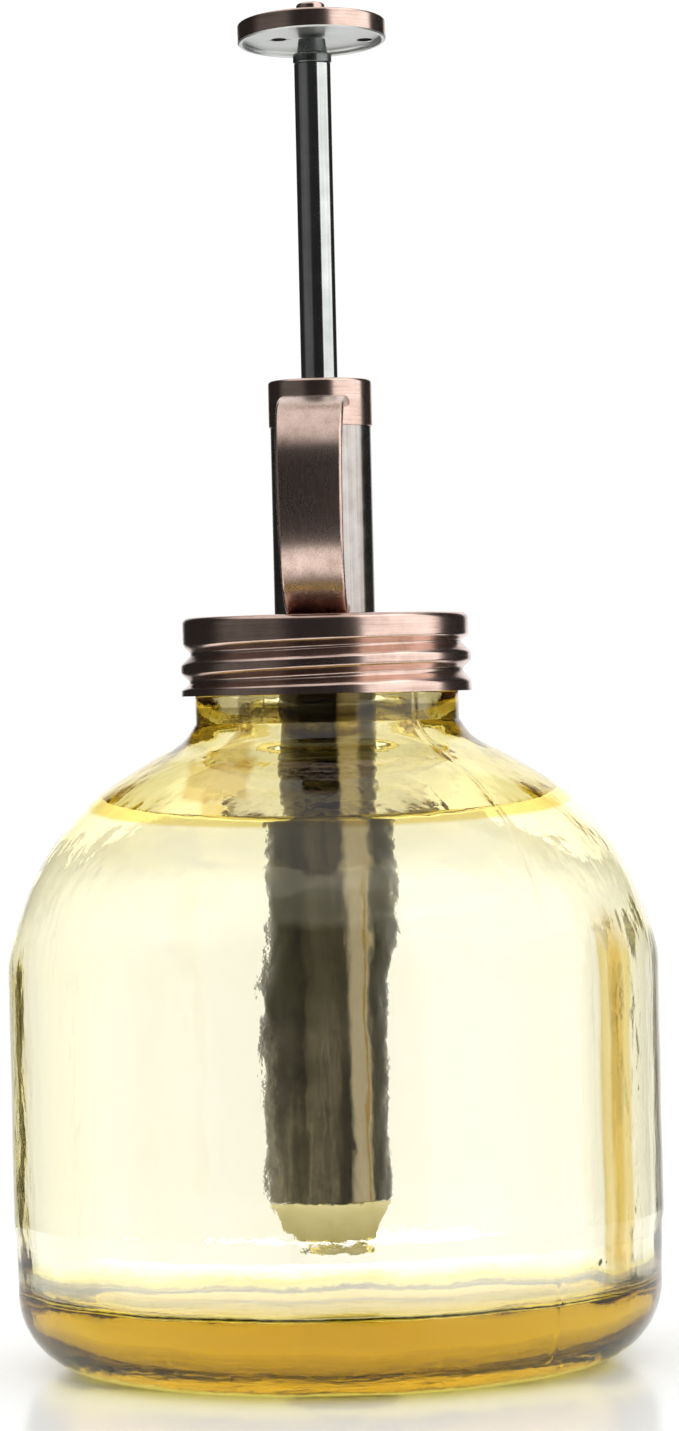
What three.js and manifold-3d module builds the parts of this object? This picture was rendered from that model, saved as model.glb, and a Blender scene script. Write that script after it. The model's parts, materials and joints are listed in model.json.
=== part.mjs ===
// Glass plant mister with a plunger pump: a faceted bottle holding water, a screw cap that
// carries the pump barrel, finger handle and nozzle, and a sprung plunger with a thumb button.
// Millimetres, +Z up. The origin is the centre of the bottle's base, the handle points to -Y
// and the nozzle to +Y.
import * as THREE from "three";
import { mergeVertices } from "three/addons/utils/BufferGeometryUtils.js";
import Module from "manifold-3d";

const wasm = await Module();
wasm.setup();

// ---------- driving dimensions ----------
const FIT = 0.06; // gap between faces that seat on each other
const RUN = 0.07; // radial running clearance of the rod and piston

// bottle
const FACETS = 15;
const FACET_PHASE = THREE.MathUtils.degToRad(20.3); // first corner, measured from -Y towards +X
const CORNER_BITE = 0.25; // the turned body before its facets are cut is this much wider
const BODY_R = 45.75; // to a facet corner
const FACET_TOP_Z = 56; // corners end here, where the dome begins
const HEEL_R = 12;
const HEEL_INSET = 0.3; // the heel's arc ends this far inside the turned body's side
const BASE_LAND_W = 4; // width of the flat ring that the bottle stands on
const PUSH_UP = 2.2; // hollow under the base
const SHOULDER_Z = 79.8;
const SHOULDER_R = 31.3;
const NECK_R = 18.3;
const NECK_Z = 89; // where the shoulder meets the neck ring
const NECK_RING_H = 3.5;
const FINISH_EDGE = 0.4; // rounding of the neck ring and of the mouth
const MOUTH_Z = 101.55;
const BORE_R = 12.7;
const FINISH_R = 16.1; // neck wall under the thread
const WALL = 2.3; // body wall at the middle of a facet
const FLOOR_Z = 10.4;
const FLOOR_CORNER_R = 7;

// screw thread of the neck and the cap
const PITCH = 4.233;
const THREAD_H = 1.1;
const THREAD_W = 2;
const THREAD_CREST_W = 0.9;
const THREAD_TURNS = 1.2;
const THREAD_PLAY = 0.25; // radial, crest to root
const THREAD_START_H = 2.8; // where the ridge starts above the neck ring
const THREAD_ROOT = 0.4; // sunk into the wall that carries the ridge
const THREAD_TIP = 0.25; // share of its full size that a ridge starts with
const THREAD_FADE = 0.1; // share of a ridge's length in which it grows to full size
const LINER_TURNS = 0.9;
const LINER_LEAD = 0.35; // turns from the start of the bottle's ridge to the cap's

// water
const WATER_Z = 74.5;
const WATER_GAP = 0.3;

// cap
const CAP_R = 20.15;
const CAP_H = 10.85;
const CAP_EDGE = 0.9; // rounding of the top edge
const CAP_SHEET = 0.8; // top plate
const SKIRT_SHEET = 0.45;
const GASKET_T = 1.2;
const GASKET_W = 6.05; // how far it reaches in from the finish's outer face
const LINER_WALL = 0.65;
const LINER_RIM = 0.9; // from the cap's rim up to the liner
const BEAD_DEPTH = 1.15;
const FLANGE_H = 3.9;
const FLANGE_INSET = 0.3; // the plain band is this much smaller than the beads
const GROOVE_W = 1.6;
const LOWER_GROOVE_Z = 2.4; // above the rim
const GROOVE_RISE = 0.57; // both grooves climb by this to +X and fall to -X

// pump barrel and its collar
const SPIGOT_PLAY = 0.05; // radial, in the outer tube's top
const BARREL_STEP = 0.95; // the barrel stands this much proud of its spigot
const COLLAR_STEP = 0.2;
const BARREL_BORE_R = 5;
const BARREL_TOP_Z = 134.7;
const PACKING_BORE_R = 5.4;
const SPIGOT_DEPTH = 8; // below the cap's top face
const COLLAR_H = 6.5;
const COLLAR_WALL = 0.7;
const COLLAR_TOP_T = 1.5;
const COLLAR_EDGE = 0.5; // rounding of the top edge
const PACKING_H = 2.3;
const PACKING_DROP = 1.7; // the packing starts this far below the collar
const NUT_R = 9.5;
const NUT_H = 2.8;
const WASHER_H = 0.6;

// handle: a strip that leaves the collar, turns down and lands on the cap
const HANDLE_W = 9.3;
const HANDLE_T = 1.25;
const HANDLE_REACH = 16; // from the barrel's face to the strip's middle
const HANDLE_TAPER = 0.08;

// nozzle
const NOZZLE_Z = 121;
const BOSS_R = 3.4;
const BOSS_L = 4.2;
const BOSS_ROOT = 1.5; // how far the boss reaches into the round of the barrel
const NOZZLE_BORE_R = 1.2;
const NOZZLE_THREAD_R = 2.6;
const NOZZLE_THREAD_L = 3.2;
const NOZZLE_CAP_R = 4.2;
const NOZZLE_CAP_L = 6.4;
const ORIFICE_R = 0.45;
const SWIRL_T = 1.4;

// pump inside the bottle
const TUBE_R = 6.8;
const TUBE_WALL = 0.7;
const TUBE_BOTTOM_Z = 23.4;
const CYLINDER_R = 5.1;
const CYLINDER_WALL = 0.5;
const CYLINDER_TOP_Z = 94.5;
const PLUG_H = 4.3;
const PLUG_FLANGE_H = 1;
const FOOT_TIP_R = 4.5;
const FOOT_SETBACK = 0.5; // the cone starts this far inside the tube's outer face
const FOOT_LIP_H = 1.4; // upright band between the cone and the tube
const FOOT_H = 5.2; // the part that shows below the tube
const FOOT_PLUG_H = 3.6;
const FOOT_NECK_H = 3;
const FOOT_SPIGOT_H = 3;
const INLET_R = 1.1;
const SEAT_R = 3;
const SEAT_H = 4.2;
const BALL_R = 1.5;
const BALL_LIFT = 1.2;
const BALL_ROOM = 0.4; // round the ball in its chamber
const PORT_R = 0.6;
const BAND_T = 0.55;
const SPRING_SEAT_H = 0.8;

// plunger, drawn at the top of its stroke
const ROD_R = 2.55;
const ROD_TOP_Z = 180.25;
const PISTON_H = 6;
const SEAL_H = 2;
const SEAL_DEPTH = 0.9;
const SPRING_R = 3.6; // to the middle of the wire
const WIRE_R = 0.45;
const SPRING_TURNS = 9;
const FERRULE_R = 2.68;
const FERRULE_H = 1.4;
const HUB_R = 2.1;
const HUB_TOP_R = 1.85;
const HUB_H = 1.9;
const BUTTON_R = 10.3;
const BUTTON_H = 2.7;
const BUTTON_CROWN = 0.25; // how much the button's face is domed
const BUTTON_RIM = 0.7;
const BUTTON_DISH = 0.7; // depth of the hollow underneath
const BUTTON_TILT = THREE.MathUtils.degToRad(-4.7); // the handle side stands a little high
const BUTTON_LEAN = THREE.MathUtils.degToRad(-1.3); // and so does the +X side
const BUTTON_HOLE_R = 1.05;
const BUTTON_HOLE_DEPTH = 1.1;
const BUTTON_HOLES = [[-4.6, 0.3], [7.1, 3.4]]; // x and y of each blind hole
const RIVET_R = 2;
const RIVET_H = 2.4;

// ---------- derived places ----------
const CAP_TOP_Z = MOUTH_Z + GASKET_T + CAP_SHEET + 2 * FIT;
const CAP_RIM_Z = CAP_TOP_Z - CAP_H;
const UPPER_GROOVE_Z = CAP_TOP_Z - FLANGE_H - GROOVE_W / 2;
const FOOT_Z = TUBE_BOTTOM_Z - FOOT_H;
const FOOT_NECK_Z = TUBE_BOTTOM_Z + FOOT_PLUG_H;
const CYLINDER_Z = FOOT_NECK_Z + FOOT_NECK_H;
const CYLINDER_BORE_R = CYLINDER_R - CYLINDER_WALL;
const SPRING_SEAT_Z = CYLINDER_Z + FOOT_SPIGOT_H + FIT;
const SPRING_Z = SPRING_SEAT_Z + SPRING_SEAT_H + FIT + WIRE_R;
const PLUG_Z = CYLINDER_TOP_Z - PLUG_H;
const PISTON_Z = PLUG_Z - PISTON_H - FIT;
const PISTON_R = CYLINDER_BORE_R - RUN;
const TUBE_BORE_R = TUBE_R - TUBE_WALL;
const SPIGOT_R = TUBE_BORE_R - SPIGOT_PLAY;
const BARREL_R = SPIGOT_R + BARREL_STEP;
const COLLAR_R = BARREL_R + COLLAR_STEP;
const TUBE_TOP_Z = CAP_TOP_Z - CAP_SHEET - WASHER_H - NUT_H - 3 * FIT;
const COLLAR_TOP_Z = BARREL_TOP_Z + FIT + COLLAR_TOP_T;
const PACKING_Z = COLLAR_TOP_Z - COLLAR_H - PACKING_DROP;
const HUB_Z = ROD_TOP_Z + FERRULE_H + FIT;
const BUTTON_Z = HUB_Z + HUB_H - BUTTON_DISH + 0.3;

// segments round a full turn
const BOTTLE_SEGMENTS = FACETS * 3;
const WIDE_SEGMENTS = 40;
const TUBE_SEGMENTS = 24;
const SMALL_SEGMENTS = 16;

// ---------- shapes ----------
const point = (r, z) => new THREE.Vector2(r, z);

// A ring or disc turned about +Z from a profile of (radius, height) points.
function turned(profile, segments = TUBE_SEGMENTS, phase = 0) {
  const geometry = new THREE.LatheGeometry(profile, segments, phase);
  geometry.rotateX(Math.PI / 2);
  return geometry;
}

// A profile that doesn't touch the axis, closed on itself.
function closedProfile(points) {
  return [...points, points[0].clone()];
}

function ring(inner, outer, z0, z1, segments = TUBE_SEGMENTS) {
  const profile = [point(inner, z0), point(outer, z0), point(outer, z1), point(inner, z1)];
  return turned(closedProfile(profile), segments);
}

function disc(radius, z0, z1, segments = TUBE_SEGMENTS) {
  return turned([point(0, z0), point(radius, z0), point(radius, z1), point(0, z1)], segments);
}

// Points of a circular arc about (r, z), from one angle to another in degrees.
function arcPoints(r, z, radius, from, to, steps) {
  const points = [];
  for (let i = 0; i <= steps; i += 1) {
    const angle = THREE.MathUtils.degToRad(from + ((to - from) * i) / steps);
    points.push(point(r + radius * Math.cos(angle), z + radius * Math.sin(angle)));
  }
  return points;
}

function toSolid(geometry) {
  const bare = geometry.clone();
  bare.deleteAttribute("normal");
  bare.deleteAttribute("uv");
  const merged = mergeVertices(bare, 1e-4);
  return new wasm.Manifold(
    new wasm.Mesh({
      numProp: 3,
      vertProperties: merged.attributes.position.array,
      triVerts: new Uint32Array(merged.index.array),
    }),
  );
}

function toGeometry(solid) {
  const mesh = solid.getMesh();
  const geometry = new THREE.BufferGeometry();
  geometry.setAttribute("position", new THREE.BufferAttribute(mesh.vertProperties, 3));
  geometry.setIndex(new THREE.BufferAttribute(mesh.triVerts, 1));
  geometry.computeVertexNormals();
  return geometry;
}

function join(first, ...others) {
  return toGeometry(others.reduce((solid, other) => solid.add(toSolid(other)), toSolid(first)));
}

function cut(first, ...tools) {
  return toGeometry(tools.reduce((solid, tool) => solid.subtract(toSolid(tool)), toSolid(first)));
}

// A screw thread's ridge: a tooth section bent round a helix, fading out at both ends.
// side is 1 for a ridge on the outside of radius, and -1 for one on the inside.
function threadRidge({ radius, side, turns, startAngle, startZ }) {
  const section = new THREE.Shape([
    point(-THREAD_ROOT, -THREAD_W / 2),
    point(0, -THREAD_W / 2),
    point(THREAD_H, -THREAD_CREST_W / 2),
    point(THREAD_H, THREAD_CREST_W / 2),
    point(0, THREAD_W / 2),
    point(-THREAD_ROOT, THREAD_W / 2),
  ]);
  const steps = Math.round(20 * turns);
  const geometry = new THREE.ExtrudeGeometry(section, { depth: 1, steps, bevelEnabled: false });
  const places = geometry.getAttribute("position");
  for (let i = 0; i < places.count; i += 1) {
    const along = places.getZ(i);
    const angle = startAngle + 2 * Math.PI * turns * along;
    const full = Math.min(1, along / THREAD_FADE, (1 - along) / THREAD_FADE);
    const scale = THREAD_TIP + (1 - THREAD_TIP) * full;
    const tall = places.getX(i) > 0 ? places.getX(i) * scale : places.getX(i);
    const r = radius + side * tall;
    const z = startZ + PITCH * turns * along - side * places.getY(i) * scale;
    places.setXYZ(i, r * Math.cos(angle), r * Math.sin(angle), z);
  }
  return geometry;
}

// ---------- bottle and water ----------
function domeProfile() {
  const shoulder = new THREE.SplineCurve([
    point(BODY_R + CORNER_BITE, FACET_TOP_Z - 1),
    point(BODY_R - 1.05, FACET_TOP_Z + 2.4),
    point(BODY_R - 2.45, FACET_TOP_Z + 6.5),
    point(BODY_R - 4.65, FACET_TOP_Z + 12),
    point(SHOULDER_R + 6, SHOULDER_Z - 5.8),
    point(SHOULDER_R, SHOULDER_Z),
    point(SHOULDER_R - 6.2, SHOULDER_Z + 3.9),
    point(NECK_R + 2.1, NECK_Z - 2.7),
    point(NECK_R, NECK_Z),
  ]);
  return shoulder.getPoints(13);
}

// The cavity's wall from the floor's edge up to the mouth.
function cavityProfile() {
  const r = BODY_R * Math.cos(Math.PI / FACETS) - WALL;
  const corner = arcPoints(r - FLOOR_CORNER_R, FLOOR_Z + FLOOR_CORNER_R, FLOOR_CORNER_R, -90, 0, 4);
  const dome = new THREE.SplineCurve([
    point(r, FACET_TOP_Z - 6),
    point(r - 0.6, FACET_TOP_Z + 2),
    point(r - 3, FACET_TOP_Z + 8.5),
    point(r - 7.4, FACET_TOP_Z + 13.8),
    point(SHOULDER_R - 3.7, SHOULDER_Z - 5.2),
    point(SHOULDER_R - 10.2, SHOULDER_Z - 1.2),
    point(BORE_R + 2.8, NECK_Z - 7),
    point(BORE_R + 0.5, NECK_Z - 3.5),
    point(BORE_R, NECK_Z),
  ]);
  return [...corner, ...dome.getPoints(9)];
}

function bottle() {
  const outerR = BODY_R + CORNER_BITE;
  const landR = outerR - HEEL_R - HEEL_INSET;
  const ringTop = NECK_Z + NECK_RING_H;
  const outline = [
    point(0, PUSH_UP),
    point(landR - BASE_LAND_W - 3, PUSH_UP * 0.8),
    point(landR - BASE_LAND_W, 0),
    ...arcPoints(landR, HEEL_R, HEEL_R, -90, 0, 6),
    ...domeProfile(),
    point(NECK_R, ringTop - FINISH_EDGE),
    point(NECK_R - FINISH_EDGE, ringTop),
    point(FINISH_R, ringTop + 2 * FINISH_EDGE),
    point(FINISH_R, MOUTH_Z - FINISH_EDGE),
    point(FINISH_R - FINISH_EDGE, MOUTH_Z),
    point(BORE_R + FINISH_EDGE, MOUTH_Z),
    point(BORE_R, MOUTH_Z - FINISH_EDGE),
    ...cavityProfile().reverse(),
    point(0, FLOOR_Z),
  ];
  const facets = new THREE.CylinderGeometry(
    BODY_R, BODY_R, 2 * MOUTH_Z, FACETS, 1, false, FACET_PHASE,
  );
  facets.rotateX(Math.PI / 2);
  const blown = toSolid(turned(outline, BOTTLE_SEGMENTS, FACET_PHASE));
  const thread = threadRidge({
    radius: FINISH_R,
    side: 1,
    turns: THREAD_TURNS,
    startAngle: 0,
    startZ: ringTop + THREAD_START_H,
  });
  return toGeometry(blown.intersect(toSolid(facets)).add(toSolid(thread)));
}

function waterFill() {
  const wall = cavityProfile();
  const above = wall.findIndex((p) => p.y > WATER_Z);
  const [low, high] = [wall[above - 1], wall[above]];
  const share = (WATER_Z - low.y) / (high.y - low.y);
  const side = [...wall.slice(0, above), point(low.x + (high.x - low.x) * share, WATER_Z)];
  const pocketR = TUBE_R + 2 * WATER_GAP;
  const pocketZ = FOOT_Z - 2 * WATER_GAP;
  const outline = [
    point(0, FLOOR_Z + WATER_GAP),
    ...side.map((p) => point(p.x - 2 * WATER_GAP, Math.max(p.y, FLOOR_Z + WATER_GAP))),
    point(pocketR, WATER_Z),
    point(pocketR, pocketZ),
    point(0, pocketZ),
  ];
  return turned(outline, WIDE_SEGMENTS);
}

// ---------- cap ----------
// The skirt's outer radius at a height: a plain band, a groove, a bead, a second groove and the rim.
function skirtRadius(z) {
  const lower = CAP_RIM_Z + LOWER_GROOVE_Z;
  const dip = (centre) => {
    const away = Math.min(1, Math.abs(z - centre) / (GROOVE_W * 0.95));
    return BEAD_DEPTH * 0.5 * (1 + Math.cos(Math.PI * away));
  };
  const inset = z > UPPER_GROOVE_Z ? FLANGE_INSET : 0;
  return CAP_R - inset - dip(UPPER_GROOVE_Z) - dip(lower);
}

function capShell() {
  const bandR = CAP_R - FLANGE_INSET;
  const steps = 14;
  const heights = Array.from({ length: steps + 1 }, (_, i) => {
    return CAP_RIM_Z + ((CAP_H - CAP_EDGE) * i) / steps;
  });
  const innerHeights = heights.filter((z, i) => i % 2 === 0 && z < CAP_TOP_Z - CAP_SHEET - CAP_EDGE);
  const hole = SPIGOT_R + FIT;
  const profile = [
    ...heights.map((z) => point(skirtRadius(z), z)),
    point(bandR - 0.3 * CAP_EDGE, CAP_TOP_Z - 0.3 * CAP_EDGE),
    point(bandR - CAP_EDGE, CAP_TOP_Z),
    point(hole, CAP_TOP_Z),
    point(hole, CAP_TOP_Z - CAP_SHEET),
    point(bandR - 2 * SKIRT_SHEET, CAP_TOP_Z - CAP_SHEET),
    ...innerHeights.reverse().map((z) => point(skirtRadius(z) - SKIRT_SHEET, z)),
  ];
  const geometry = turned(closedProfile(profile), WIDE_SEGMENTS);
  const places = geometry.getAttribute("position");
  const plainZ = CAP_TOP_Z - 2 * CAP_SHEET; // level from here up
  for (let i = 0; i < places.count; i += 1) {
    const z = places.getZ(i);
    const fromRim = (z - CAP_RIM_Z) / LOWER_GROOVE_Z;
    const fromBand = Math.max(0, plainZ - z) / (plainZ - UPPER_GROOVE_Z);
    const lift = GROOVE_RISE * Math.min(1, fromRim, fromBand) * (places.getX(i) / CAP_R);
    places.setZ(i, z + lift);
  }
  return geometry;
}

function capThreadLiner() {
  const inner = FINISH_R + THREAD_H + THREAD_PLAY;
  const z0 = CAP_RIM_Z + LINER_RIM;
  const z1 = CAP_TOP_Z - CAP_SHEET - FIT;
  const ridge = threadRidge({
    radius: inner,
    side: -1,
    turns: LINER_TURNS,
    startAngle: LINER_LEAD * 2 * Math.PI,
    startZ: NECK_Z + NECK_RING_H + THREAD_START_H + PITCH * (LINER_LEAD - 0.5),
  });
  return join(ring(inner, inner + LINER_WALL, z0, z1, WIDE_SEGMENTS), ridge);
}

function capGasket() {
  const z0 = MOUTH_Z + FIT;
  return ring(FINISH_R - GASKET_W, FINISH_R, z0, z0 + GASKET_T, WIDE_SEGMENTS);
}

// ---------- barrel, collar, handle ----------
function pumpBarrel() {
  const neckR = COLLAR_R - COLLAR_WALL - FIT;
  const shoulderZ = COLLAR_TOP_Z - COLLAR_H - FIT;
  const profile = [
    point(BARREL_BORE_R, CAP_TOP_Z - SPIGOT_DEPTH),
    point(SPIGOT_R, CAP_TOP_Z - SPIGOT_DEPTH),
    point(SPIGOT_R, CAP_TOP_Z + FIT),
    point(BARREL_R, CAP_TOP_Z + FIT),
    point(BARREL_R, shoulderZ),
    point(neckR, shoulderZ),
    point(neckR, BARREL_TOP_Z),
    point(PACKING_BORE_R, BARREL_TOP_Z),
    point(PACKING_BORE_R, PACKING_Z),
    point(BARREL_BORE_R, PACKING_Z),
  ];
  const port = new THREE.CylinderGeometry(NOZZLE_BORE_R, NOZZLE_BORE_R, BARREL_R * 2, SMALL_SEGMENTS);
  port.translate(0, BARREL_R, NOZZLE_Z);
  return cut(turned(closedProfile(profile), WIDE_SEGMENTS), port);
}

function topCollar() {
  const inner = COLLAR_R - COLLAR_WALL;
  const z0 = COLLAR_TOP_Z - COLLAR_H;
  const profile = [
    point(inner, z0),
    point(COLLAR_R, z0),
    point(COLLAR_R, COLLAR_TOP_Z - COLLAR_EDGE),
    point(COLLAR_R - 0.3 * COLLAR_EDGE, COLLAR_TOP_Z - 0.3 * COLLAR_EDGE),
    point(COLLAR_R - COLLAR_EDGE, COLLAR_TOP_Z),
    point(ROD_R + RUN, COLLAR_TOP_Z),
    point(ROD_R + RUN, COLLAR_TOP_Z - COLLAR_TOP_T),
    point(inner, COLLAR_TOP_Z - COLLAR_TOP_T),
  ];
  return turned(closedProfile(profile), WIDE_SEGMENTS);
}

function guideBush() {
  const z0 = PACKING_Z + PACKING_H + 2 * FIT;
  return ring(ROD_R + RUN, PACKING_BORE_R - FIT, z0, BARREL_TOP_Z);
}

function rodPacking() {
  const z0 = PACKING_Z + FIT;
  return ring(ROD_R + RUN, PACKING_BORE_R - FIT, z0, z0 + PACKING_H);
}

// The strip's middle line in the plane of the handle: distance from the axis, then height.
function handlePath() {
  const far = BARREL_R + HANDLE_REACH;
  const top = COLLAR_TOP_Z - 0.55 * COLLAR_H;
  const foot = CAP_TOP_Z + HANDLE_T / 2 + FIT;
  return new THREE.SplineCurve([
    point(BARREL_R - 1, top),
    point(BARREL_R + 5, top + 0.2),
    point(far - 4.2, top - 1.4),
    point(far - 0.6, top - 6.4),
    point(far, top - 13),
    point(far - 1.2, foot + 8.2),
    point(far - 4.6, foot + 2.6),
    point(far - 9, foot),
    point(far - 13, foot),
  ]);
}

function fingerHandle() {
  const path = handlePath();
  const steps = 26;
  const outer = [];
  const inner = [];
  for (let i = 0; i <= steps; i += 1) {
    const middle = path.getPoint(i / steps);
    const along = path.getTangent(i / steps);
    const across = point(-along.y, along.x).multiplyScalar(HANDLE_T / 2);
    outer.push(middle.clone().add(across));
    inner.push(middle.clone().sub(across));
  }
  const outline = new THREE.Shape([...outer, ...inner.reverse()]);
  const strip = new THREE.ExtrudeGeometry(outline, { depth: HANDLE_W, bevelEnabled: false });
  strip.translate(0, 0, -HANDLE_W / 2);
  const places = strip.getAttribute("position");
  const height = COLLAR_TOP_Z - CAP_TOP_Z;
  for (let i = 0; i < places.count; i += 1) {
    const drop = (COLLAR_TOP_Z - places.getY(i)) / height;
    const x = -places.getZ(i) * (1 - HANDLE_TAPER * drop);
    const seated = Math.max(places.getY(i), CAP_TOP_Z + FIT);
    places.setXYZ(i, x, -places.getX(i), seated);
  }
  return cut(strip, disc(COLLAR_R + FIT, 0, COLLAR_TOP_Z * 2, WIDE_SEGMENTS));
}

function nutWasher() {
  const z1 = CAP_TOP_Z - CAP_SHEET - FIT;
  return ring(SPIGOT_R + FIT, NUT_R, z1 - WASHER_H, z1, WIDE_SEGMENTS);
}

function barrelNut() {
  const z1 = CAP_TOP_Z - CAP_SHEET - WASHER_H - 2 * FIT;
  const hexagon = new THREE.CylinderGeometry(NUT_R, NUT_R, NUT_H, 6);
  hexagon.rotateX(Math.PI / 2);
  hexagon.translate(0, 0, z1 - NUT_H / 2);
  return cut(hexagon, disc(SPIGOT_R + FIT, 0, CAP_TOP_Z, WIDE_SEGMENTS));
}

// ---------- nozzle: turned shapes laid along +Y ----------
function alongY(geometry, y) {
  geometry.rotateX(-Math.PI / 2);
  geometry.translate(0, y, NOZZLE_Z);
  return geometry;
}

function nozzleBoss() {
  const reach = BARREL_R + BOSS_L;
  const profile = [
    point(NOZZLE_BORE_R, BARREL_R - BOSS_ROOT),
    point(BOSS_R, BARREL_R - BOSS_ROOT),
    point(BOSS_R, reach - 0.5),
    point(BOSS_R - 0.4, reach),
    point(NOZZLE_THREAD_R, reach),
    point(NOZZLE_THREAD_R, reach + NOZZLE_THREAD_L),
    point(NOZZLE_BORE_R, reach + NOZZLE_THREAD_L),
  ];
  const boss = alongY(turned(closedProfile(profile), SMALL_SEGMENTS), 0);
  return cut(boss, disc(BARREL_R + FIT, 0, COLLAR_TOP_Z, WIDE_SEGMENTS));
}

function swirlInsert() {
  const y0 = BARREL_R + BOSS_L + NOZZLE_THREAD_L + FIT;
  return alongY(ring(ORIFICE_R, NOZZLE_THREAD_R, 0, SWIRL_T, SMALL_SEGMENTS), y0);
}

function nozzleCap() {
  const y0 = BARREL_R + BOSS_L + FIT;
  const floor = NOZZLE_THREAD_L + SWIRL_T + 2 * FIT;
  const profile = [
    point(NOZZLE_THREAD_R + FIT, 0),
    point(NOZZLE_CAP_R, 0),
    point(NOZZLE_CAP_R, NOZZLE_CAP_L - 1.6),
    point(NOZZLE_CAP_R - 1.4, NOZZLE_CAP_L),
    point(ORIFICE_R, NOZZLE_CAP_L),
    point(ORIFICE_R, floor),
    point(NOZZLE_THREAD_R + FIT, floor),
  ];
  return alongY(turned(closedProfile(profile), 24), y0);
}

// ---------- pump under the cap ----------
const outerTube = () => ring(TUBE_BORE_R, TUBE_R, TUBE_BOTTOM_Z, TUBE_TOP_Z, WIDE_SEGMENTS);
const innerCylinder = () => ring(CYLINDER_BORE_R, CYLINDER_R, CYLINDER_Z + FIT, CYLINDER_TOP_Z);

function cylinderPlug() {
  const flange = CYLINDER_TOP_Z + FIT;
  const profile = [
    point(ROD_R + RUN, PLUG_Z),
    point(CYLINDER_BORE_R - FIT, PLUG_Z),
    point(CYLINDER_BORE_R - FIT, flange),
    point(CYLINDER_R - 0.3, flange),
    point(CYLINDER_R - 0.3, flange + PLUG_FLANGE_H),
    point(ROD_R + RUN, flange + PLUG_FLANGE_H),
  ];
  return turned(closedProfile(profile));
}

// The white foot: a cone below the tube, a plug inside it, a neck with the outlet ports
// and a spigot that the inner cylinder stands on.
function footValveBody() {
  const throatR = INLET_R - 0.1;
  const chamberTop = FOOT_Z + SEAT_H + 2 * BALL_R + BALL_LIFT - 0.2;
  const profile = [
    point(SEAT_R, FOOT_Z),
    point(FOOT_TIP_R, FOOT_Z),
    point(TUBE_R - FOOT_SETBACK, TUBE_BOTTOM_Z - FOOT_LIP_H),
    point(TUBE_R - FOOT_SETBACK / 5, TUBE_BOTTOM_Z - FIT),
    point(TUBE_BORE_R - FIT, TUBE_BOTTOM_Z - FIT),
    point(TUBE_BORE_R - FIT, FOOT_NECK_Z),
    point(CYLINDER_R, FOOT_NECK_Z),
    point(CYLINDER_R, CYLINDER_Z),
    point(CYLINDER_BORE_R - FIT, CYLINDER_Z),
    point(CYLINDER_BORE_R - FIT, SPRING_SEAT_Z - FIT),
    point(throatR, SPRING_SEAT_Z - FIT),
    point(throatR, chamberTop),
    point(BALL_R + BALL_ROOM, chamberTop),
    point(BALL_R + BALL_ROOM, FOOT_Z + SEAT_H + FIT),
    point(SEAT_R, FOOT_Z + SEAT_H + FIT),
  ];
  const ports = [0, Math.PI / 2].map((turn) => {
    const port = new THREE.CylinderGeometry(PORT_R, PORT_R, 3 * CYLINDER_R, 12);
    port.rotateZ(turn);
    port.rotateX(Math.PI / 2);
    port.rotateZ(turn);
    port.translate(0, 0, FOOT_NECK_Z + FOOT_NECK_H / 2);
    return port;
  });
  return cut(turned(closedProfile(profile)), ports[0], ports[1]);
}

function outletBand() {
  const inset = 0.5;
  return ring(
    CYLINDER_R + FIT, CYLINDER_R + FIT + BAND_T, FOOT_NECK_Z + inset, CYLINDER_Z - inset,
  );
}

const inletSeat = () => ring(INLET_R, SEAT_R - FIT, FOOT_Z, FOOT_Z + SEAT_H, SMALL_SEGMENTS);

function inletBall() {
  const ball = new THREE.SphereGeometry(BALL_R, SMALL_SEGMENTS, 12);
  const rise = Math.sqrt(BALL_R ** 2 - INLET_R ** 2);
  ball.rotateX(Math.PI / 2);
  ball.translate(0, 0, FOOT_Z + SEAT_H + rise + FIT);
  return ball;
}

function springSeat() {
  const outer = CYLINDER_BORE_R - RUN;
  return ring(INLET_R, outer, SPRING_SEAT_Z, SPRING_SEAT_Z + SPRING_SEAT_H);
}

// Round wire wound on a helix between the seat and the piston.
class Helix extends THREE.Curve {
  constructor(radius, z0, z1, turns) {
    super();
    Object.assign(this, { radius, z0, z1, turns });
  }

  getPoint(t, target = new THREE.Vector3()) {
    const angle = 2 * Math.PI * this.turns * t;
    const z = this.z0 + (this.z1 - this.z0) * t;
    return target.set(this.radius * Math.cos(angle), this.radius * Math.sin(angle), z);
  }
}

function returnSpring() {
  const top = PISTON_Z - FIT - WIRE_R;
  const path = new Helix(SPRING_R, SPRING_Z, top, SPRING_TURNS);
  const wire = new THREE.Shape();
  wire.absarc(0, 0, WIRE_R, 0, 2 * Math.PI);
  return new THREE.ExtrudeGeometry(wire, {
    curveSegments: 3,
    steps: SPRING_TURNS * 10,
    extrudePath: path,
  });
}

// ---------- plunger ----------
function piston() {
  const sealZ = PISTON_Z + (PISTON_H - SEAL_H) / 2;
  const grooveR = PISTON_R - SEAL_DEPTH;
  const bore = ROD_R + FIT;
  return turned(
    closedProfile([
      point(bore, PISTON_Z),
      point(PISTON_R, PISTON_Z),
      point(PISTON_R, sealZ),
      point(grooveR, sealZ),
      point(grooveR, sealZ + SEAL_H),
      point(PISTON_R, sealZ + SEAL_H),
      point(PISTON_R, PISTON_Z + PISTON_H),
      point(bore, PISTON_Z + PISTON_H),
    ]),
  );
}

function pistonSeal() {
  const z0 = PISTON_Z + (PISTON_H - SEAL_H) / 2 + FIT;
  return ring(PISTON_R - SEAL_DEPTH + FIT, CYLINDER_BORE_R - 0.04, z0, z0 + SEAL_H - 2 * FIT);
}

const plungerRod = () => disc(ROD_R, PISTON_Z, ROD_TOP_Z);

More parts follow.
